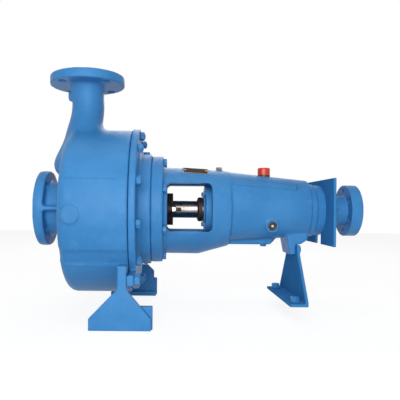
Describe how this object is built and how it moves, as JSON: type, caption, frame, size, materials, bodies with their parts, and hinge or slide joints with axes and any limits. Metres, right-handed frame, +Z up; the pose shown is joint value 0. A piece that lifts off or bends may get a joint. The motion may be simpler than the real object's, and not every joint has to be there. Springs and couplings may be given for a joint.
{
  "type": "non-clog centrifugal pump",
  "caption": "End-suction non-clog centrifugal pump: volute casing with upward discharge, back cover, lantern bearing frame, packed gland, guard plate, feet and flanged coupling half.",
  "frame": {"origin": "where the shaft axis meets the face of the suction flange", "axes": "+X along the shaft towards the coupling, +Z up towards the discharge flange, -Y the side with the oil sight glass"},
  "size_m": [0.805, 0.452, 0.597],
  "materials": {
    "blue_enamel": "semi-gloss enamel over rough castings",
    "grey_iron": "as cast, machined at the fits",
    "bare_steel": "machined, lightly oxidised",
    "stainless_steel": "ground",
    "bearing_steel": "ground and polished",
    "bronze": "machined",
    "black_iron": "black, rough",
    "graphite_packing": "braided, graphited",
    "fibre_gasket": "matt",
    "black_rubber": "matt",
    "red_plastic": "gloss",
    "black_rim": "satin",
    "sight_glass": "polished",
    "dark_plate": "etched dark, bright at the edge"
  },
  "bodies": {
    "pump_body": {"back_cover": "blue_enamel", "bearing_frame": "blue_enamel", "casing_wear_ring": "grey_iron", "cover_gasket": "fibre_gasket", "cover_nuts": "blue_enamel", "cover_studs": "blue_enamel", "cover_vent_plug": "blue_enamel", "frame_bolts": "blue_enamel", "frame_top_plug": "blue_enamel", "front_foot_bolts": "blue_enamel", "front_foot_far": "blue_enamel", "front_foot_near": "blue_enamel", "gland_studs": "bare_steel", "guard_plate": "blue_enamel", "inboard_bearing_cover": "blue_enamel", "inboard_cover_screws": "blue_enamel", "inboard_oil_seal": "black_rubber", "inboard_outer_race": "bearing_steel", "lantern_ring": "bronze", "nameplate": "dark_plate", "nameplate_rivets": "bare_steel", "oil_drain_plug": "blue_enamel", "oil_filler_neck": "black_rim", "outboard_bearing_cover": "blue_enamel", "outboard_cover_screws": "blue_enamel", "outboard_oil_seal": "black_rubber", "outboard_outer_race": "bearing_steel", "packing_rings": "graphite_packing", "rear_anchor_bolts": "blue_enamel", "rear_foot_bolts": "blue_enamel", "rear_support_foot": "blue_enamel", "sight_glass_lens": "sight_glass", "sight_glass_rim": "black_rim", "volute_casing": "blue_enamel"},
    "rotor": {"shaft": "bare_steel", "impeller": "grey_iron", "impeller_nut": "grey_iron", "impeller_key": "bare_steel", "shaft_sleeve": "stainless_steel", "flinger_ring": "black_iron", "coupling_half": "blue_enamel", "coupling_key": "bare_steel", "coupling_set_screw": "blue_enamel", "inboard_inner_race": "bearing_steel", "outboard_inner_race": "bearing_steel", "bearing_lock_nut": "bearing_steel", "bearing_lock_washer": "bearing_steel"},
    "gland": {"gland_follower": "black_iron", "gland_nuts": "bare_steel"},
    "oil_cap": {"oil_filler_cap": "red_plastic"},
    "inboard_ball_set": {"inboard_balls": "bearing_steel", "inboard_cage": "bronze"},
    "outboard_ball_set": {"outboard_balls": "bearing_steel", "outboard_cage": "bronze"}
  },
  "joints": [
    {"name": "rotor_spin", "type": "hinge", "parent": "pump_body", "child": "rotor", "pos_m": [0.5, 0, 0], "axis": [1, 0, 0], "continuous": true},
    {"name": "inboard_cage_spin", "type": "hinge", "parent": "pump_body", "child": "inboard_ball_set", "pos_m": [0.4525, 0, 0], "axis": [1, 0, 0], "continuous": true},
    {"name": "outboard_cage_spin", "type": "hinge", "parent": "pump_body", "child": "outboard_ball_set", "pos_m": [0.654, 0, 0], "axis": [1, 0, 0], "continuous": true},
    {"name": "gland_slide", "type": "slide", "parent": "pump_body", "child": "gland", "axis": [1, 0, 0], "range_m": [0, 0.012]},
    {"name": "oil_cap_lift", "type": "slide", "parent": "pump_body", "child": "oil_cap", "axis": [0, 0, 1], "range_m": [0, 0.02]}
  ],
  "couplings": [
    {"joint": "inboard_cage_spin", "follows": "rotor_spin", "ratio": 0.38},
    {"joint": "outboard_cage_spin", "follows": "rotor_spin", "ratio": 0.4007}
  ]
}
